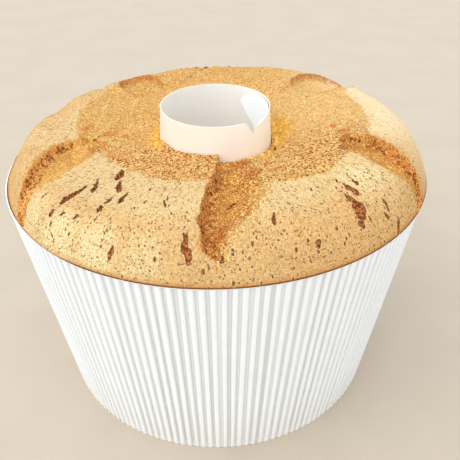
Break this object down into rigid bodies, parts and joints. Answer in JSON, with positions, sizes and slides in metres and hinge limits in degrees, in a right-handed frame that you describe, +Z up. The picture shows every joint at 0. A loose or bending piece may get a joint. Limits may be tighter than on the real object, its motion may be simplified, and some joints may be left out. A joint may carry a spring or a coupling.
{
  "type": "chiffon cake in paper mould",
  "caption": "Uncut ring-shaped chiffon cake with a cracked domed crust, still in its ribbed paper cup with a rolled paper tube standing through the middle.",
  "frame": {"origin": "centre of the underside of the paper cup, where it stands", "axes": "+Z up along the tube's axis, -Y towards the front of the cake as it was pictured, +X to the right"},
  "size_m": [0.18, 0.18, 0.1284],
  "materials": {
    "crust": "matt baked sponge",
    "ribbed_paper": "matt",
    "base_paper": "matt",
    "tube_paper": "satin"
  },
  "bodies": {
    "root": {"cake": "crust", "cup_wall": "ribbed_paper", "cup_base": "base_paper", "center_tube": "tube_paper"}
  },
  "joints": []
}
